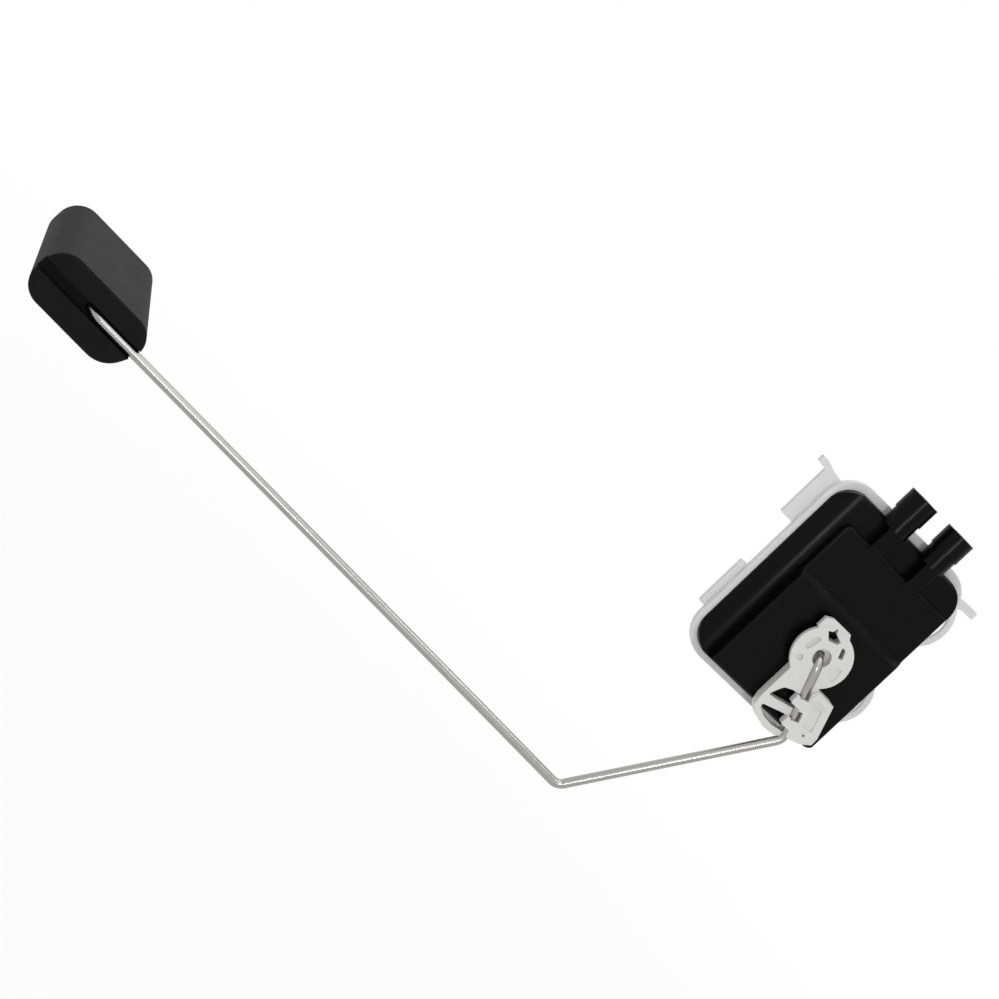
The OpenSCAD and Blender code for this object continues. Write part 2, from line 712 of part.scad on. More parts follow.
// The room for the wire: its two bends, and an open channel under the two clips
module wire_channel() {
    way = down(holder_run_deg);
    away = down(-short_run_deg);
    r = wire_r + snug;
    reach = 3;
    mouth = 2 * (r - 0.05);
    lower_cut = tangent_len(way, away, wire_bend_r) - bend_lap;
    bend(pivot_pt, [0, -1, 0], way, pin_bend_r, r);
    rod(pivot_pt + (tangent_len([0, -1, 0], way, pin_bend_r) - bend_lap) * way,
        holder_bend - lower_cut * way, r);
    bend(holder_bend, way, away, wire_bend_r, r);
    rod(holder_bend + lower_cut * away, holder_bend + hub_r * away, r);
    translate(pivot_pt) rotate([0, -holder_run_deg, 0]) {
        first = -clip_tops[0] / cos(holder_run_deg);
        second = -clip_tops[1] / cos(holder_run_deg);
        translate([-mouth / 2, -reach, -first]) cube([mouth, reach, first - 1]);
        translate([-mouth / 2, -reach, -second]) cube([mouth, reach, second - first - clip_w
            - 0.6]);
    }
}

module hub_windows() {
    slab(holder_back_d - over, holder_front_d + over) {
        soft_polygon(hub_window, 0.2);
        soft_polygon(side_window, 0.25);
    }
    slab(holder_front_d - 0.6, holder_front_d + over) {
        translate([-4.7, 1.3]) rotate(-11) rounded_rect(-0.7, -2.2, 0.7, 2.2, 0.6);
        translate([-4.4, -3.6]) circle(0.9);
    }
    slab(holder_front_d - 0.4, holder_front_d + over) translate([5.6, -0.8]) rotate(8)
        rounded_rect(-1, -2.1, 1, 2.1, 0.6);
}

module arm_holder() color("white") difference() {
    union() {
        arm_hub();
        arm_web();
        clip_block();
        clips();
        rod_y(journal_r, rotor_front_d + 0.1, holder_back_d + 1);
        shaft_key(0, arm_plate_d, rotor_front_d + 0.2);
    }
    hub_windows();
    wire_channel();
    rod_y(pocket_r, wire_d - wire_r - 0.6, holder_front_d + over);
    rod_y(wire_r + snug, arm_plate_d - over, holder_front_d + over);
    slab(clip_front_d - 0.4, clip_front_d + over) soft_polygon(block_panel, 0.5);
    rod_y(0.4, clip_front_d - 1.2, clip_front_d + over, block_hole);
}

module shaft_key(gap, d0, d1) intersection() {
    rod_y(key_r + gap, d0, d1);
    slab(d0, d1) square([2 * (key_flat + gap), 4 * key_r], center = true);
}

// The rotor and the wiper turn with the holder, inside the cover
module wiper_rotor() color("ivory") difference() {
    union() {
        rod_y(rotor_r, arm_plate_d, rotor_front_d);
        at_wiper() slab(arm_plate_d, arm_plate_d + arm_plate_t) rounded_rect(-arm_plate_w / 2, 0,
            arm_plate_w / 2, arm_plate_len, 1);
        rotate([0, lug_rest_deg, 0]) slab(arm_plate_d + 1.5, rotor_front_d)
            translate([-lug_half_w, 0]) square([2 * lug_half_w, lug_r]);
    }
    shaft_key(snug, arm_plate_d - over, rotor_front_d + over);
    at_wiper() for (r = rivet_rs) rod_y(rivet_r, arm_plate_d - over, upper_d, [0, r]);
}

module at_wiper() rotate([0, wiper_rest_deg, 0]) children();

module wiper_spring() color("khaki") at_wiper() difference() {
    union() {
        slab(tine_d, arm_plate_d) rounded_rect(-arm_plate_w / 2 + 0.5, rivet_rs[0] - 2,
            arm_plate_w / 2 - 0.5, tine_root + 0.6, 0.5);
        for (i = [0, 1]) beam(tine_offset[i] - 0.6, tine_offset[i] + 0.6) polygon([
            [tine_root, tine_d], [tine_root, arm_plate_d], [tine_root + 1, arm_plate_d],
            [tine_r[i] - 0.8, tine_end_d + tine_t], [tine_r[i] + 0.8, tine_end_d + tine_t],
            [tine_r[i] + 0.8, tine_end_d], [tine_r[i] - 0.8, tine_end_d], [tine_root + 1, tine_d]]);
    }
    for (r = rivet_rs) rod_y(rivet_r, tine_d - over, arm_plate_d + over, [0, r]);
}

module wiper_contacts() color("gold") at_wiper() for (i = [0, 1]) {
    translate([tine_offset[i], -track_front_d - contact_gap, tine_r[i]]) intersection() {
        rotate([90, 0, 0]) cylinder(r = contact_r, h = tine_end_d - track_front_d - contact_gap);
        translate([0, -contact_r - 0.4, 0]) sphere(r = contact_r + 0.4);
    }
}

module wiper_rivets() color("goldenrod") at_wiper() for (r = rivet_rs) {
    rod_y(rivet_r, tine_d, arm_plate_d + arm_plate_t, [0, r]);
    rod_y(rivet_r + 0.5, tine_d - 0.35, tine_d, [0, r]);
}

module shaft_retainer() color("lightsteelblue") difference() {
    rod_y(retainer_r, arm_plate_d - retainer_t, arm_plate_d);
    rod_y(wire_r, arm_plate_d - retainer_t - over, arm_plate_d + over);
}

// The wire: into the hub, down the holder, along the short run, the elbow and the long run,
// and through the float
module float_arm() color("silver") {
    into = [0, 1, 0];
    u1 = down(holder_run_deg);
    u2 = down(-short_run_deg);
    u3 = [-cos(long_run_deg), 0, sin(long_run_deg)];
    corners = [[0, -pin_tip_d, 0], pivot_pt, holder_bend, elbow, float_pt,
        [float_pt[0], pin_past_float - float_back_d, float_pt[2]]];
    ways = [-into, u1, u2, u3, into];
    bends = [pin_bend_r, wire_bend_r, wire_bend_r, pin_bend_r];
    cuts = [for (i = [0:3]) tangent_len(ways[i], ways[i + 1], bends[i]) - bend_lap];
    for (i = [0:4]) rod(corners[i] + (i == 0 ? 0 : cuts[i - 1]) * ways[i],
        corners[i + 1] - (i == 4 ? 0 : cuts[i]) * ways[i], wire_r);
    for (i = [0:3]) bend(corners[i + 1], ways[i], ways[i + 1], bends[i], wire_r);
}

module at_float() translate([float_pt[0], 0, float_pt[2]]) rotate([0, long_run_deg, 0]) children();

module float_slice(d, cut_w, cut_h, less_r) {
    w = float_w / 2 - cut_w;
    h = float_h / 2 - cut_h;
    for (c = [[-1, 1, float_upper_left_r, 0], [1, 1, float_upper_right_r, 0],
            [-1, -1, float_lower_left_r, 0], [1, -1, float_lower_right_r, float_corner_inset]]) {
        r = c[2] - less_r;
        rod_y(r, d, d + 0.01, [c[0] * (w - r - c[3]) - float_shift, c[1] * (h - r) - float_drop]);
    }
}

module float_body() hull() {
    tw = float_side_taper;
    th = float_height_taper;
    float_slice(float_front_d - 0.01, 0.6, 0.6, 0.6, $fn = 40);
    float_slice(float_front_d - 0.6, 0, 0, 0, $fn = 40);
    float_slice(float_back_d + 0.8, tw, th, th, $fn = 40);
    float_slice(float_back_d, tw + 0.8, th + 0.8, th + 0.8, $fn = 40);
}

module float() color("#202022") at_float() difference() {
    float_body();
    rod_y(wire_r + snug, float_back_d - over, float_front_d + over);
    slab(wire_d - wire_r - 0.3, float_front_d + over) translate([-float_w, -groove_w / 2])
        square([2 * float_w, groove_w]);
    bend([0, -wire_d, 0], [-1, 0, 0], [0, 1, 0], pin_bend_r, wire_r + snug);
}

module float_retainer() color("lightsteelblue") at_float() difference() {
    rod_y(4.2, float_back_d - 0.6, float_back_d);
    rod_y(wire_r, float_back_d - 0.6 - over, float_back_d + over);
}

carrier();
cover();
terminal_left();
terminal_right();
resistor_card();
resistor_track();
contact_comb();
return_track();
card_pads();
solder_joints();
arm_holder();
wiper_rotor();
wiper_spring();
wiper_contacts();
wiper_rivets();
shaft_retainer();
float_arm();
float();
float_retainer();
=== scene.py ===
"""Looks for a fuel level sender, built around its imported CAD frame, in metres."""

import math

import bmesh
import bpy
from bpy.props import FloatProperty, FloatVectorProperty, PointerProperty
from mathutils import Matrix, Vector


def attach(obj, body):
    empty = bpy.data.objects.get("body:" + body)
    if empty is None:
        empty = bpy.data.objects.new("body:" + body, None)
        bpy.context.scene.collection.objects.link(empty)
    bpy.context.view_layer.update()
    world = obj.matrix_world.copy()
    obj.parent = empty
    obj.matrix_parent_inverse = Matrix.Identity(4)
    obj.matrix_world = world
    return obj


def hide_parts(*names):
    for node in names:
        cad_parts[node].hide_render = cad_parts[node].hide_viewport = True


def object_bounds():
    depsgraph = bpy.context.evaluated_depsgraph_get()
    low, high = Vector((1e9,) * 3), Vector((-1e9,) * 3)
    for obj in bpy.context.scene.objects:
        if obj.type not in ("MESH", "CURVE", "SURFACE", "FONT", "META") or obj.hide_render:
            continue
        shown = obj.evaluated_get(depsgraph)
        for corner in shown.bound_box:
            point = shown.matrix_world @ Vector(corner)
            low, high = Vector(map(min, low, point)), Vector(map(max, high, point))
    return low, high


bl_info = {
    "name": "Fuel level sender",
    "version": (1, 0, 0),
    "blender": (4, 5, 0),
    "location": "3D View > Sidebar > Sender",
    "description": "Dresses a fuel level sender's solids and sets its stage",
    "category": "Object",
}

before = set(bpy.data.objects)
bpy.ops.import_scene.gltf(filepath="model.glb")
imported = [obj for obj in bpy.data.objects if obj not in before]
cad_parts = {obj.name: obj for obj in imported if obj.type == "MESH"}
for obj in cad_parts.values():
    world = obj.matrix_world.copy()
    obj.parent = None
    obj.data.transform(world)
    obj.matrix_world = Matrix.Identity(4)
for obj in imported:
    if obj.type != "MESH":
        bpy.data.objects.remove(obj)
CAD_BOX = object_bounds()
# Vertices closer than this are one, in metres
MERGE = 2e-6
# Angle between faces below which they are merged, in degrees
FLAT_ANGLE = 0.5
# Noise scales of slow unevenness, in waves a metre
FLOW_MARKS = 90
FOAM_PATCHES = 140
METAL_PATCHES = 260
# Spreads of the foam's tone and roughness, and its unevenness next to its cells
FOAM_TONE = 0.5
FOAM_POLISH = 0.1
FOAM_WAVES = 0.6
# Spread of the metal's roughness from scratch to scratch
SCRATCH_POLISH = 0.06
# The floor turns plain white between these distances from its middle, in metres
FLOOR_NEAR = 0.2
FLOOR_FAR = 0.9
FLOOR_SIZE = 6
# Share of plain white that the camera sees in the floor near the object
FLOOR_WHITE = 0.87


# Properties


class StageSettings(bpy.types.PropertyGroup):
    """The camera, the lamps and the floor."""

    azimuth: FloatProperty(
        name="Azimuth", description="Camera's turn about Z from straight in front",
        default=math.radians(-16.2), unit="ROTATION")
    elevation: FloatProperty(
        name="Elevation", description="Camera's height above the horizontal",
        default=math.radians(7.9), unit="ROTATION")
    roll: FloatProperty(
        name="Roll", description="How far the camera is rolled anticlockwise",
        default=math.radians(45.75), unit="ROTATION")
    distance: FloatProperty(
        name="Distance", description="Camera's distance from the point that it looks at",
        default=0.650, unit="LENGTH")
    aim: FloatVectorProperty(
        name="Aim", description="Point that the camera looks at",
        default=(-0.0827, 0.0036, -0.0298), subtype="TRANSLATION")
    lens: FloatProperty(
        name="Lens", description="Focal length of the camera, in millimetres",
        default=93.5, min=20)
    floor_drop: FloatProperty(
        name="Floor drop", description="Room between the object's lowest point and the floor",
        default=0.12, min=0, unit="LENGTH")
    floor_colour: FloatVectorProperty(
        name="Floor colour", description="Colour of the floor",
        default=(0.93, 0.93, 0.93), subtype="COLOR", min=0, max=1)
    sky_level: FloatProperty(
        name="Sky level", description="Strength of the even light from all round",
        default=0.6, min=0)
    key_power: FloatProperty(
        name="Key power", description="Power of the wide lamp above, in watts",
        default=1.4, min=0)
    key_place: FloatVectorProperty(
        name="Key place", description="Place of the wide lamp above",
        default=(-0.18, -0.38, 0.55), subtype="TRANSLATION")
    key_width: FloatProperty(
        name="Key width", description="Width of the wide lamp above",
        default=0.44, min=0.05, unit="LENGTH")
    key_height: FloatProperty(
        name="Key height", description="Height of the wide lamp above",
        default=1.0, min=0.05, unit="LENGTH")
    back_power: FloatProperty(
        name="Back power", description="Power of the wide lamp above and behind, in watts",
        default=0.7, min=0)
    back_place: FloatVectorProperty(
        name="Back place", description="Place of the wide lamp above and behind",
        default=(-0.18, 0.45, 0.5), subtype="TRANSLATION")
    strip_power: FloatProperty(
        name="Strip power", description="Power of the narrow lamp in front, in watts",
        default=0.55, min=0)
    strip_place: FloatVectorProperty(
        name="Strip place", description="Place of the narrow lamp in front",
        default=(-0.02, -0.62, 0.03), subtype="TRANSLATION")
    strip_width: FloatProperty(
        name="Strip width", description="Width of the narrow lamp in front",
        default=0.07, min=0.01, unit="LENGTH")
    strip_height: FloatProperty(
        name="Strip height", description="Height of the narrow lamp in front",
        default=0.08, min=0.01, unit="LENGTH")
    top_power: FloatProperty(
        name="Top power", description="Power of the small lamp above the housing, in watts",
        default=0.26, min=0)
    top_place: FloatVectorProperty(
        name="Top place", description="Place of the small lamp above the housing",
        default=(0.155, -0.109, 0.49), subtype="TRANSLATION")
    top_size: FloatProperty(
        name="Top size", description="Side of the small lamp above the housing",
        default=0.11, min=0.01, unit="LENGTH")


class HousingSettings(bpy.types.PropertyGroup):
    """Finishes of the carrier, the cover and what they hold."""

    black: FloatVectorProperty(
        name="Black plastic", description="Colour of the cover",
        default=(0.0022, 0.0022, 0.0024), subtype="COLOR", min=0, max=1)
    milky: FloatVectorProperty(
        name="Milky plastic", description="Colour of the carrier",
        default=(0.68, 0.685, 0.68), subtype="COLOR", min=0, max=1)
    grain_size: FloatProperty(
        name="Grain size", description="Size of the moulded surface's grain",
        default=0.00035, min=0.00001, unit="LENGTH")
    edge_round: FloatProperty(
        name="Edge rounding", description="Radius of the moulded edges",
        default=0.00012, min=0, unit="LENGTH")


class ArmSettings(bpy.types.PropertyGroup):
    """Finishes of the holder, the wire and the float."""

    natural: FloatVectorProperty(
        name="Natural plastic", description="Colour of the arm holder",
        default=(0.66, 0.66, 0.645), subtype="COLOR", min=0, max=1)
    wire: FloatVectorProperty(
        name="Wire", description="Colour of the drawn wire",
        default=(0.36, 0.356, 0.348), subtype="COLOR", min=0, max=1)
    rubber: FloatVectorProperty(
        name="Float", description="Colour of the float's foam rubber",
        default=(0.0078, 0.0078, 0.0081), subtype="COLOR", min=0, max=1)
    foam_cell: FloatProperty(
        name="Foam cell", description="Size of the cells in the float's skin",
        default=0.0007, min=0.00001, unit="LENGTH")


# Shader node groups


def socket(group, name, kind, default=None, out=False):
    made = group.interface.new_socket(
        name=name, in_out="OUTPUT" if out else "INPUT", socket_type="NodeSocket" + kind)
    if default is not None:
        made.default_value = default
    return made


def new_group(name):
    group = bpy.data.node_groups.new(name, "ShaderNodeTree")
    return group, group.nodes.new("NodeGroupInput"), group.nodes.new("NodeGroupOutput")


def noise(tree, vector, scale, detail):
    """A noise texture, with its scale from a socket or a number."""
    node = tree.nodes.new("ShaderNodeTexNoise")
    node.inputs["Detail"].default_value = detail
    tree.links.new(vector, node.inputs["Vector"])
    if isinstance(scale, bpy.types.NodeSocket):
        tree.links.new(scale, node.inputs["Scale"])
    else:
        node.inputs["Scale"].default_value = scale
    return node.outputs["Fac"]


def maths(tree, operation, first, second):
    node = tree.nodes.new("ShaderNodeMath")
    node.operation = operation
    for index, value in enumerate((first, second)):
        if isinstance(value, bpy.types.NodeSocket):
            tree.links.new(value, node.inputs[index])
        else:
            node.inputs[index].default_value = value
    return node.outputs[0]


def surface_outputs(group):
    """The colour, roughness and normal that every surface group gives."""
    for name, kind in (("Colour", "Color"), ("Roughness", "Float"), ("Normal", "Vector")):
        socket(group, name, kind, out=True)


def centred(tree, value, spread):
    """A noise moved to lie around 0, times a spread."""
    return maths(tree, "MULTIPLY", maths(tree, "SUBTRACT", value, 0.5), spread)


def toned(tree, colour, spread):
    """A colour made lighter or darker by a value that lies around 0."""
    node = tree.nodes.new("ShaderNodeVectorMath")
    node.operation = "SCALE"
    tree.links.new(colour, node.inputs[0])
    tree.links.new(maths(tree, "ADD", spread, 1), node.inputs["Scale"])
    return node.outputs[0]


def bumped(tree, height, distance):
    """A normal tilted by a height, with its depth from a socket or a number."""
    node = tree.nodes.new("ShaderNodeBump")
    tree.links.new(height, node.inputs["Height"])
    if isinstance(distance, bpy.types.NodeSocket):
        tree.links.new(distance, node.inputs["Distance"])
    else:
        node.inputs["Distance"].default_value = distance
    return node.outputs[0]


def moulded_surface():
    """Grain, slow flow marks and a soft change of tone, as on moulded plastic."""
    group, given, result = new_group("Moulded surface")
    socket(group, "Vector", "Vector")
    socket(group, "Colour", "Color", (0.5, 0.5, 0.5, 1))
    socket(group, "Grain", "Float", 2500.0)
    socket(group, "Depth", "Float", 0.00002)
    socket(group, "Roughness", "Float", 0.4)
    socket(group, "Variation", "Float", 0.1)
    surface_outputs(group)
    links = group.links
    vector = given.outputs["Vector"]
    fine = noise(group, vector, given.outputs["Grain"], detail=3)
    slow = noise(group, vector, FLOW_MARKS, detail=4)
    spread = centred(group, slow, given.outputs["Variation"])
    links.new(toned(group, given.outputs["Colour"], spread), result.inputs["Colour"])
    links.new(maths(group, "ADD", spread, given.outputs["Roughness"]),
              result.inputs["Roughness"])
    links.new(bumped(group, fine, given.outputs["Depth"]), result.inputs["Normal"])
    return group


def foam_skin():
    """Fine closed cells and slow unevenness, as on a foam rubber float."""
    group, given, result = new_group("Foam skin")
    socket(group, "Vector", "Vector")
    socket(group, "Colour", "Color", (0.02, 0.02, 0.02, 1))
    socket(group, "Cells", "Float", 2200.0)
    socket(group, "Depth", "Float", 0.00002)
    socket(group, "Roughness", "Float", 0.6)
    surface_outputs(group)
    links = group.links
    vector = given.outputs["Vector"]
    cells = group.nodes.new("ShaderNodeTexVoronoi")
    links.new(vector, cells.inputs["Vector"])
    links.new(given.outputs["Cells"], cells.inputs["Scale"])
    slow = noise(group, vector, FOAM_PATCHES, detail=3)
    links.new(toned(group, given.outputs["Colour"], centred(group, slow, FOAM_TONE)),
              result.inputs["Colour"])
    links.new(maths(group, "ADD", centred(group, slow, FOAM_POLISH),
                    given.outputs["Roughness"]), result.inputs["Roughness"])
    height = maths(group, "ADD", cells.outputs["Distance"],
                   maths(group, "MULTIPLY", slow, FOAM_WAVES))
    links.new(bumped(group, height, given.outputs["Depth"]), result.inputs["Normal"])
    return group


def metal_surface():
    """Fine scratches and a slow change of tone and polish, as on rolled or drawn metal."""
    group, given, result = new_group("Metal surface")
    socket(group, "Vector", "Vector")
    socket(group, "Colour", "Color", (0.6, 0.6, 0.6, 1))
    socket(group, "Scratches", "Float", 3000.0)
    socket(group, "Depth", "Float", 0.0000005)
    socket(group, "Roughness", "Float", 0.3)
    socket(group, "Variation", "Float", 0.15)
    surface_outputs(group)
    links = group.links
    vector = given.outputs["Vector"]
    fine = noise(group, vector, given.outputs["Scratches"], detail=2)
    slow = noise(group, vector, METAL_PATCHES, detail=3)
    spread = centred(group, slow, given.outputs["Variation"])
    links.new(toned(group, given.outputs["Colour"], spread), result.inputs["Colour"])
    rough = maths(group, "ADD", spread, given.outputs["Roughness"])
    links.new(maths(group, "ADD", rough, centred(group, fine, SCRATCH_POLISH)),
              result.inputs["Roughness"])
    links.new(bumped(group, fine, given.outputs["Depth"]), result.inputs["Normal"])
    return group


GROUPS = {}


def group_for(build):
    """A node group, built once and then shared."""
    if build.__name__ not in GROUPS:
        GROUPS[build.__name__] = build()
    return GROUPS[build.__name__]


# Materials


def material(name, build, values, colour, metallic=0.0, specular=0.5, subsurface=0.0):
    """A Principled material whose colour, roughness and normal come from a shared group."""
    made = bpy.data.materials.new(name)
    made.use_nodes = True
    tree = made.node_tree
    shader = tree.nodes["Principled BSDF"]
    group = tree.nodes.new("ShaderNodeGroup")
    group.node_tree = group_for(build)
    place = tree.nodes.new("ShaderNodeTexCoord")
    tree.links.new(place.outputs["Object"], group.inputs["Vector"])
    group.inputs["Colour"].default_value = (*colour, 1)
    for key, value in values.items():
        group.inputs[key].default_value = value
    tree.links.new(group.outputs["Colour"], shader.inputs["Base Color"])
    tree.links.new(group.outputs["Roughness"], shader.inputs["Roughness"])
    tree.links.new(group.outputs["Normal"], shader.inputs["Normal"])
    shader.inputs["Metallic"].default_value = metallic
    shader.inputs["Specular IOR Level"].default_value = specular
    if subsurface:
        shader.inputs["Subsurface Weight"].default_value = subsurface
        shader.inputs["Subsurface Radius"].default_value = (1.0, 1.0, 1.0)
        shader.inputs["Subsurface Scale"].default_value = 0.0012
    made.diffuse_color = (*colour, 1)
    return made


def black_plastic(housing):
    return material("black_plastic", moulded_surface,
                    {"Grain": 1 / housing.grain_size, "Depth": 0.000012, "Roughness": 0.25,
                     "Variation": 0.12}, housing.black, specular=0.08)


def milky_plastic(housing):
    return material("milky_plastic", moulded_surface,
                    {"Grain": 0.6 / housing.grain_size, "Depth": 0.000008, "Roughness": 0.45,
                     "Variation": 0.08}, housing.milky, specular=0.35, subsurface=0.25)


def natural_plastic(arm):
    return material("natural_plastic", moulded_surface,
                    {"Grain": 2600.0, "Depth": 0.000008, "Roughness": 0.36, "Variation": 0.06},
                    arm.natural, specular=0.4, subsurface=0.1)


def float_foam(arm):
    return material("float_foam", foam_skin, {"Cells": 1 / arm.foam_cell}, arm.rubber,
                    specular=0.055)


def drawn_wire(arm):
    return material("drawn_wire", metal_surface, {"Roughness": 0.27}, arm.wire, metallic=1.0)


# Colour and roughness of each metal
METALS = {
    "terminal_brass": ((0.72, 0.55, 0.26), 0.28),
    "rivet_brass": ((0.70, 0.53, 0.25), 0.35),
    "contact_metal": ((0.80, 0.64, 0.34), 0.2),
    "spring_alloy": ((0.66, 0.55, 0.38), 0.3),
    "spring_steel": ((0.42, 0.43, 0.45), 0.34),
    "conductor_film": ((0.62, 0.61, 0.58), 0.45),
    "solder": ((0.60, 0.60, 0.61), 0.22),
}


def metal(name):
    if name not in bpy.data.materials:
        colour, roughness = METALS[name]
        material(name, metal_surface, {"Roughness": roughness}, colour, metallic=1.0)
    return bpy.data.materials[name]


def card_ceramic():
    return material("card_ceramic", moulded_surface,
                    {"Grain": 6000.0, "Depth": 0.000004, "Roughness": 0.6, "Variation": 0.05},
                    (0.82, 0.81, 0.77))


def resistive_film():
    return material("resistive_film", moulded_surface,
                    {"Grain": 9000.0, "Depth": 0.000004, "Roughness": 0.35, "Variation": 0.1},
                    (0.02, 0.02, 0.022))


# Pieces


def dress(node, finish, body, edge=0.0, angle=35.0):
    """A smooth copy of a CAD node stands for it, with its sharp edges rounded by a little."""
    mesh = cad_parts[node].data.copy()
    mesh.name = node + "_dressed"
    work = bmesh.new()
    work.from_mesh(mesh)
    bmesh.ops.remove_doubles(work, verts=work.verts, dist=MERGE)
    bmesh.ops.dissolve_degenerate(work, edges=work.edges, dist=MERGE)
    bmesh.ops.dissolve_limit(work, angle_limit=math.radians(FLAT_ANGLE), verts=work.verts,
                             edges=work.edges)
    work.to_mesh(mesh)
    work.free()
    mesh.shade_smooth()
    mesh.set_sharp_from_angle(angle=math.radians(angle))
    piece = bpy.data.objects.new(node + "_dressed", mesh)
    bpy.context.scene.collection.objects.link(piece)
    if edge:
        bevel = piece.modifiers.new("Moulded edges", "BEVEL")
        bevel.width = edge
        bevel.segments = 2
        bevel.limit_method = "ANGLE"
        bevel.angle_limit = math.radians(angle)
        bevel.use_clamp_overlap = True
    shading = piece.modifiers.new("Even shading", "WEIGHTED_NORMAL")
    shading.keep_sharp = True
    mesh.materials.clear()
    mesh.materials.append(finish)
    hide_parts(node)
    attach(piece, body)
    return piece


def paint(node, finish):
    """A CAD node keeps its mesh and gets its finish."""
    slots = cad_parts[node].data.materials
    slots.clear()
    slots.append(finish)


# Operators


class SENDER_OT_cover(bpy.types.Operator):
    """Dress the black cover with its barrels"""

    bl_idname = "sender.cover"
    bl_label = "Cover"

    def execute(self, context):
        housing = context.scene.sender_housing
        dress("cover", black_plastic(housing), "housing", edge=housing.edge_round)
        return {"FINISHED"}


class SENDER_OT_carrier(bpy.types.Operator):
    """Dress the milky carrier with its wings, hooks and spring bows"""

    bl_idname = "sender.carrier"
    bl_label = "Carrier"

    def execute(self, context):
        housing = context.scene.sender_housing
        dress("carrier", milky_plastic(housing), "housing", edge=housing.edge_round)
        return {"FINISHED"}


class SENDER_OT_terminals(bpy.types.Operator):
    """Dress the brass terminals and their solder joints"""

    bl_idname = "sender.terminals"
    bl_label = "Terminals"

    def execute(self, context):
        for side in ("left", "right"):
            dress("terminal_" + side, metal("terminal_brass"), "housing")
        dress("solder_joints", metal("solder"), "housing")
        return {"FINISHED"}


class SENDER_OT_card(bpy.types.Operator):
    """Finish the resistor card and its printed tracks"""

    bl_idname = "sender.card"
    bl_label = "Resistor card"

    def execute(self, context):
        paint("resistor_card", card_ceramic())
        paint("resistor_track", resistive_film())
        for node in ("contact_comb", "return_track", "card_pads"):
            paint(node, metal("conductor_film"))
        return {"FINISHED"}


class SENDER_OT_holder(bpy.types.Operator):
    """Dress the arm holder and the wiper's rotor"""

    bl_idname = "sender.holder"
    bl_label = "Arm holder"

    def execute(self, context):
        finish = natural_plastic(context.scene.sender_arm)
        edge = context.scene.sender_housing.edge_round
        dress("arm_holder", finish, "arm", edge=edge)
        dress("wiper_rotor", finish, "arm", edge=edge)
        return {"FINISHED"}


class SENDER_OT_wiper(bpy.types.Operator):
    """Dress the wiper's spring, contacts and rivets"""

    bl_idname = "sender.wiper"
    bl_label = "Wiper"

    def execute(self, context):
        dress("wiper_spring", metal("spring_alloy"), "arm")
        dress("wiper_contacts", metal("contact_metal"), "arm")
        dress("wiper_rivets", metal("rivet_brass"), "arm")
        return {"FINISHED"}


class SENDER_OT_wire(bpy.types.Operator):
    """Dress the float arm's wire"""

    bl_idname = "sender.wire"
    bl_label = "Float arm"

    def execute(self, context):
        dress("float_arm", drawn_wire(context.scene.sender_arm), "arm", edge=0.00018)
        return {"FINISHED"}


class SENDER_OT_float(bpy.types.Operator):
    """Dress the foam float"""

    bl_idname = "sender.float"
    bl_label = "Float"

    def execute(self, context):
        dress("float", float_foam(context.scene.sender_arm), "arm", edge=0.0003, angle=25)
        return {"FINISHED"}


class SENDER_OT_retainers(bpy.types.Operator):
    """Dress the push nuts that hold the wire and the float"""

    bl_idname = "sender.retainers"
    bl_label = "Retainers"

    def execute(self, context):
        dress("shaft_retainer", metal("spring_steel"), "arm")
        dress("float_retainer", metal("spring_steel"), "arm", edge=0.0001)
        return {"FINISHED"}


def shown(tree):
    """1 for the rays that show the background: straight, mirrored or through glass."""
    path = tree.nodes.new("ShaderNodeLightPath")
    seen = maths(tree, "MAXIMUM", path.outputs["Is Camera Ray"], path.outputs["Is Glossy Ray"])
    return maths(tree, "MAXIMUM", seen, path.outputs["Is Transmission Ray"])


def floor_finish(colour):
    """Pale, with the object's soft shadow near it, and plain white to the eye far away."""
    made = bpy.data.materials.new("pale_floor")
    made.use_nodes = True
    tree = made.node_tree
    shader = tree.nodes["Principled BSDF"]
    shader.inputs["Base Color"].default_value = (*colour, 1)
    shader.inputs["Roughness"].default_value = 0.9
    shader.inputs["Specular IOR Level"].default_value = 0.1
    glow = tree.nodes.new("ShaderNodeEmission")
    mix = tree.nodes.new("ShaderNodeMixShader")
    seen = shown(tree)
    place = tree.nodes.new("ShaderNodeTexCoord")
    reach = tree.nodes.new("ShaderNodeVectorMath")
    reach.operation = "LENGTH"
    tree.links.new(place.outputs["Object"], reach.inputs[0])
    far = tree.nodes.new("ShaderNodeMapRange")
    far.interpolation_type = "SMOOTHSTEP"
    far.inputs["From Min"].default_value = FLOOR_NEAR
    far.inputs["From Max"].default_value = FLOOR_FAR
    far.inputs["To Min"].default_value = FLOOR_WHITE
    tree.links.new(reach.outputs["Value"], far.inputs["Value"])
    tree.links.new(maths(tree, "MULTIPLY", seen, far.outputs["Result"]), mix.inputs["Fac"])
    tree.links.new(shader.outputs[0], mix.inputs[1])
    tree.links.new(glow.outputs[0], mix.inputs[2])
    tree.links.new(mix.outputs[0], tree.nodes["Material Output"].inputs["Surface"])
    return made


def pale_world(level):
    """White where it is seen, and an even light of this level on the object."""
    world = bpy.data.worlds.new("Studio")
    world.use_nodes = True
    tree = world.node_tree
    sky = tree.nodes["Background"]
    sky.inputs["Strength"].default_value = level
    sky.inputs["Color"].default_value = (1, 1, 1, 1)
    white = tree.nodes.new("ShaderNodeBackground")
    white.inputs["Color"].default_value = (1, 1, 1, 1)
    mix = tree.nodes.new("ShaderNodeMixShader")
    tree.links.new(shown(tree), mix.inputs["Fac"])
    tree.links.new(sky.outputs[0], mix.inputs[1])
    tree.links.new(white.outputs[0], mix.inputs[2])
    tree.links.new(mix.outputs[0], tree.nodes["World Output"].inputs["Surface"])
    bpy.context.scene.world = world


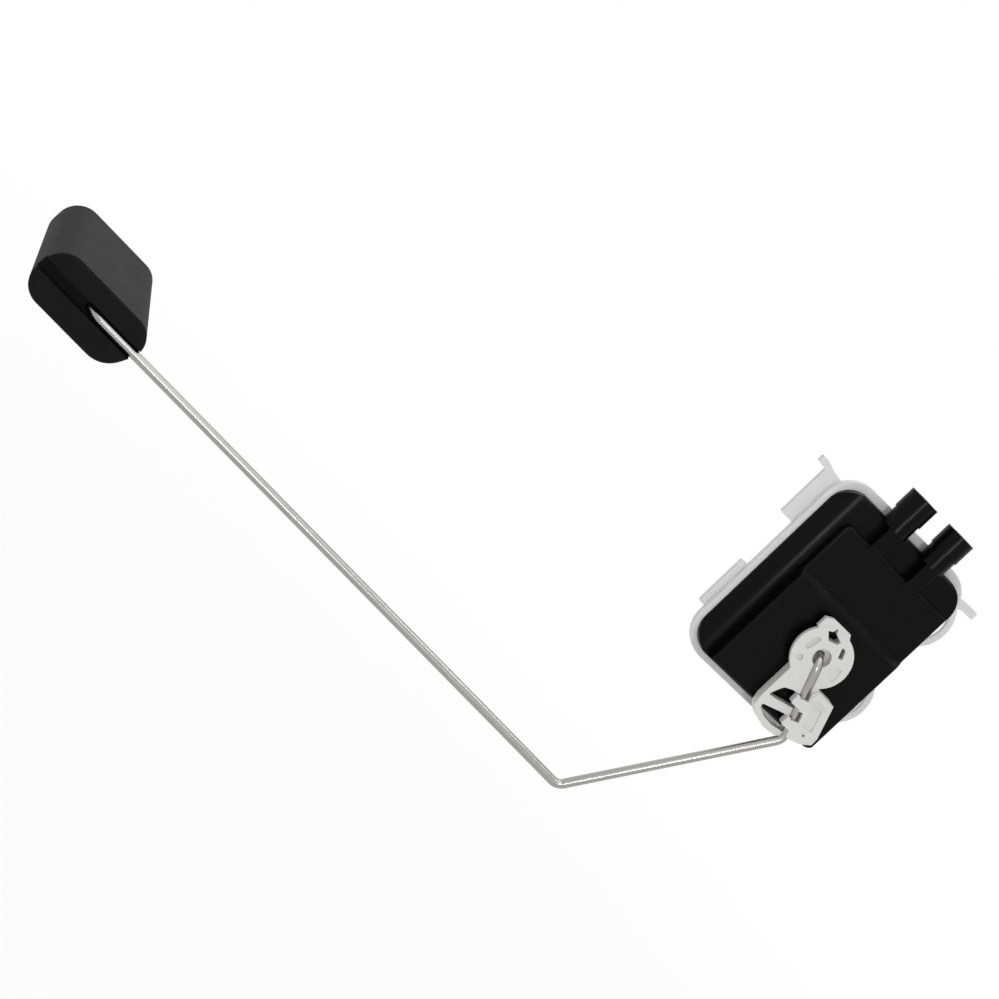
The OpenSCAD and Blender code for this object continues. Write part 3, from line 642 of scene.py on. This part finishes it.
def view_axes(azimuth, elevation, roll):
    """Right, up and forward of a camera at these angles, rolled anticlockwise."""
    right = Vector((math.cos(azimuth), math.sin(azimuth), 0))
    forward = Vector((-math.sin(azimuth) * math.cos(elevation),
                      math.cos(azimuth) * math.cos(elevation), -math.sin(elevation)))
    up = right.cross(forward)
    turn = Matrix.Rotation(-roll, 3, forward)
    return turn @ right, turn @ up, forward


def set_camera(stage, aim):
    """The camera, turned, raised and rolled about the point that it looks at."""
    right, up, forward = view_axes(stage.azimuth, stage.elevation, stage.roll)
    data = bpy.data.cameras.new("Camera")
    data.lens = stage.lens
    data.sensor_width = 36
    made = bpy.data.objects.new("Camera", data)
    turn = Matrix((right, up, -forward)).transposed().to_4x4()
    made.matrix_world = Matrix.Translation(aim - forward * stage.distance) @ turn
    bpy.context.scene.collection.objects.link(made)
    bpy.context.scene.camera = made


def lamp(name, place, target, size, power):
    """A rectangular lamp that faces a target."""
    light = bpy.data.lights.new(name, "AREA")
    light.shape = "RECTANGLE"
    light.size, light.size_y = size
    light.energy = power
    made = bpy.data.objects.new(name, light)
    made.location = place
    made.rotation_euler = (target - place).to_track_quat("-Z", "Y").to_euler()
    bpy.context.scene.collection.objects.link(made)


def set_lamps(stage, aim):
    """Two wide lamps over the object, a narrow one in front and a small one on top."""
    for name, place, power in (("Key lamp", stage.key_place, stage.key_power),
                               ("Back lamp", stage.back_place, stage.back_power)):
        lamp(name, Vector(place), Vector((place[0], aim.y, aim.z)),
             (stage.key_width, stage.key_height), power)
    lamp("Strip lamp", Vector(stage.strip_place), Vector((0, 0, stage.strip_place[2])),
         (stage.strip_width, stage.strip_height), stage.strip_power)
    lamp("Top lamp", Vector(stage.top_place), Vector((0, 0, 0)),
         (stage.top_size, stage.top_size), stage.top_power)


def lay_floor(stage, aim):
    """The floor, a little below the object's lowest point."""
    work = bmesh.new()
    bmesh.ops.create_grid(work, x_segments=1, y_segments=1, size=FLOOR_SIZE)
    mesh = bpy.data.meshes.new("floor")
    work.to_mesh(mesh)
    work.free()
    mesh.materials.append(floor_finish(stage.floor_colour))
    floor = bpy.data.objects.new("floor", mesh)
    floor.location = (aim.x, aim.y, CAD_BOX[0][2] - stage.floor_drop)
    bpy.context.scene.collection.objects.link(floor)


class SENDER_OT_stage(bpy.types.Operator):
    """Set the camera, the lamps, the world and the floor"""

    bl_idname = "sender.stage"
    bl_label = "Stage"

    def execute(self, context):
        stage = context.scene.sender_stage
        aim = Vector(stage.aim)
        set_camera(stage, aim)
        set_lamps(stage, aim)
        pale_world(stage.sky_level)
        lay_floor(stage, aim)
        context.scene.view_settings.view_transform = "Standard"
        return {"FINISHED"}


class SENDER_PT_panel(bpy.types.Panel):
    """Lists the sender's pieces"""

    bl_idname = "SENDER_PT_panel"
    bl_label = "Fuel level sender"
    bl_space_type = "VIEW_3D"
    bl_region_type = "UI"
    bl_category = "Sender"

    def draw(self, context):
        layout = self.layout
        for settings in (context.scene.sender_stage, context.scene.sender_housing,
                         context.scene.sender_arm):
            box = layout.box()
            for key in settings.__annotations__:
                box.prop(settings, key)
        for step in STEPS:
            layout.operator(step.bl_idname)


STEPS = (SENDER_OT_stage, SENDER_OT_cover, SENDER_OT_carrier, SENDER_OT_terminals,
         SENDER_OT_card, SENDER_OT_holder, SENDER_OT_wiper, SENDER_OT_wire,
         SENDER_OT_float, SENDER_OT_retainers)
CLASSES = (StageSettings, HousingSettings, ArmSettings, *STEPS, SENDER_PT_panel)


def register():
    for kind in CLASSES:
        bpy.utils.register_class(kind)
    bpy.types.Scene.sender_stage = PointerProperty(type=StageSettings)
    bpy.types.Scene.sender_housing = PointerProperty(type=HousingSettings)
    bpy.types.Scene.sender_arm = PointerProperty(type=ArmSettings)


def unregister():
    del bpy.types.Scene.sender_arm
    del bpy.types.Scene.sender_housing
    del bpy.types.Scene.sender_stage
    for kind in reversed(CLASSES):
        bpy.utils.unregister_class(kind)


def main():
    """Builds the whole sender."""
    register()
    bpy.ops.sender.stage()
    bpy.ops.sender.cover()
    bpy.ops.sender.carrier()
    bpy.ops.sender.terminals()
    bpy.ops.sender.card()
    bpy.ops.sender.holder()
    bpy.ops.sender.wiper()
    bpy.ops.sender.wire()
    bpy.ops.sender.float()
    bpy.ops.sender.retainers()


if __name__ == "__main__":
    main()
